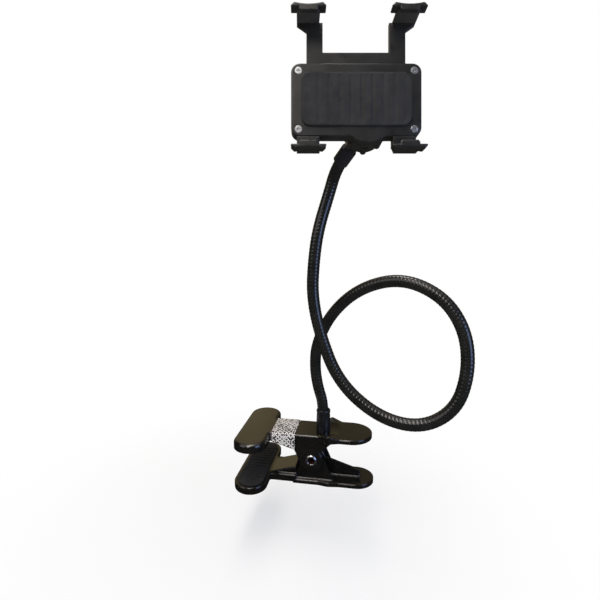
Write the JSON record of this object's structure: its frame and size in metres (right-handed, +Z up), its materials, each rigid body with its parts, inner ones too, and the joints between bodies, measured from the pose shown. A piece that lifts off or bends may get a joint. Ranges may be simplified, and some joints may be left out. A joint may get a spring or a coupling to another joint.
{
  "type": "gooseneck phone holder",
  "caption": "Spring clamp for a desk edge with a bendable gooseneck arm, a ball joint and a sprung cradle that grips a phone by its long edges.",
  "frame": {"origin": "centre of the upper grip pad's lower face, where it lies on the top of the board", "axes": "+Z up, away from the board; +X along the clamp from the grip paddles to the thumb handles; +Y along the edge of the board"},
  "size_m": [0.1569, 0.1101, 0.3038],
  "materials": {
    "clamp_plastic": "polished black moulding",
    "cradle_plastic": "satin black moulding",
    "ferrule_plastic": "satin black sleeve",
    "arm_skin": "black ribbed vinyl",
    "ball_plastic": "polished black ball",
    "nylon": "natural nylon",
    "pad_rubber": "matt black foam rubber",
    "band_fabric": "speckled grey weave",
    "rivet_chrome": "bright plated",
    "spring_steel": "oiled spring wire",
    "zinc_steel": "zinc plated",
    "core_steel": "wound steel"
  },
  "bodies": {
    "clamp": {"upper_jaw": "clamp_plastic", "upper_jaw_pad": "pad_rubber", "pivot_rivet": "rivet_chrome", "torsion_spring": "spring_steel", "woven_band": "band_fabric", "base_ferrule": "ferrule_plastic", "base_washer": "zinc_steel", "base_nut": "zinc_steel"},
    "lower": {"lower_jaw": "clamp_plastic", "lower_jaw_pad": "pad_rubber"},
    "gooseneck": {"gooseneck_sleeve": "arm_skin", "gooseneck_core": "core_steel"},
    "neck_top": {"top_ferrule": "ferrule_plastic"},
    "ball": {"ball_stud": "ball_plastic"},
    "seat": {"ball_seat": "nylon"},
    "holder": {"ball_socket": "cradle_plastic", "holder_back": "cradle_plastic", "holder_cover": "cradle_plastic", "cover_screws": "zinc_steel", "rest_pad": "pad_rubber", "lower_claw_pads": "pad_rubber", "slide_springs": "spring_steel"},
    "nut": {"ring_nut": "cradle_plastic"},
    "jaw": {"upper_slide": "cradle_plastic", "upper_claw_pads": "pad_rubber"}
  },
  "joints": [
    {"name": "clamp_hinge", "type": "hinge", "parent": "clamp", "child": "lower", "pos_m": [0.0427, 0, -0.012], "axis": [0, -1, 0], "range_deg": [-25, 33], "stiffness_Nm_per_rad": 0.6, "deforming": ["torsion_spring"]},
    {"name": "neck_bend_low", "type": "hinge", "parent": "clamp", "child": "gooseneck", "pos_m": [0.05, 0, 0.026], "axis": [0, 1, 0], "range_deg": [-20, 20], "deforming": ["gooseneck_sleeve", "gooseneck_core"]},
    {"name": "neck_bend_high", "type": "hinge", "parent": "gooseneck", "child": "neck_top", "pos_m": [0.05749, -0.01831, 0.19244], "axis": [0.9848, 0.1736, 0], "range_deg": [-20, 20], "deforming": ["gooseneck_sleeve", "gooseneck_core"]},
    {"name": "ball_swivel", "type": "hinge", "parent": "neck_top", "child": "ball", "pos_m": [0.0768, -0.0365, 0.2137], "axis": [0.568, -0.5351, 0.6254], "range_deg": [-90, 90]},
    {"name": "ball_tilt", "type": "hinge", "parent": "ball", "child": "seat", "pos_m": [0.0768, -0.0365, 0.2137], "axis": [0.7511, 0.0264, -0.6596], "range_deg": [-90, 4]},
    {"name": "holder_roll", "type": "hinge", "parent": "seat", "child": "holder", "pos_m": [0.0768, -0.0365, 0.2137], "axis": [0.1715, -0.9727, 0.1564], "continuous": true},
    {"name": "nut_turn", "type": "hinge", "parent": "holder", "child": "nut", "pos_m": [0.0768, -0.0365, 0.2137], "axis": [0.1715, -0.9727, 0.1564], "range_deg": [-90, 90]},
    {"name": "jaw_slide", "type": "slide", "parent": "holder", "child": "jaw", "axis": [-0.0272, 0.1541, 0.9877], "range_m": [-0.018, 0.011], "stiffness_N_per_m": 200, "springref_m": 0.0003, "deforming": ["slide_springs"]}
  ]
}
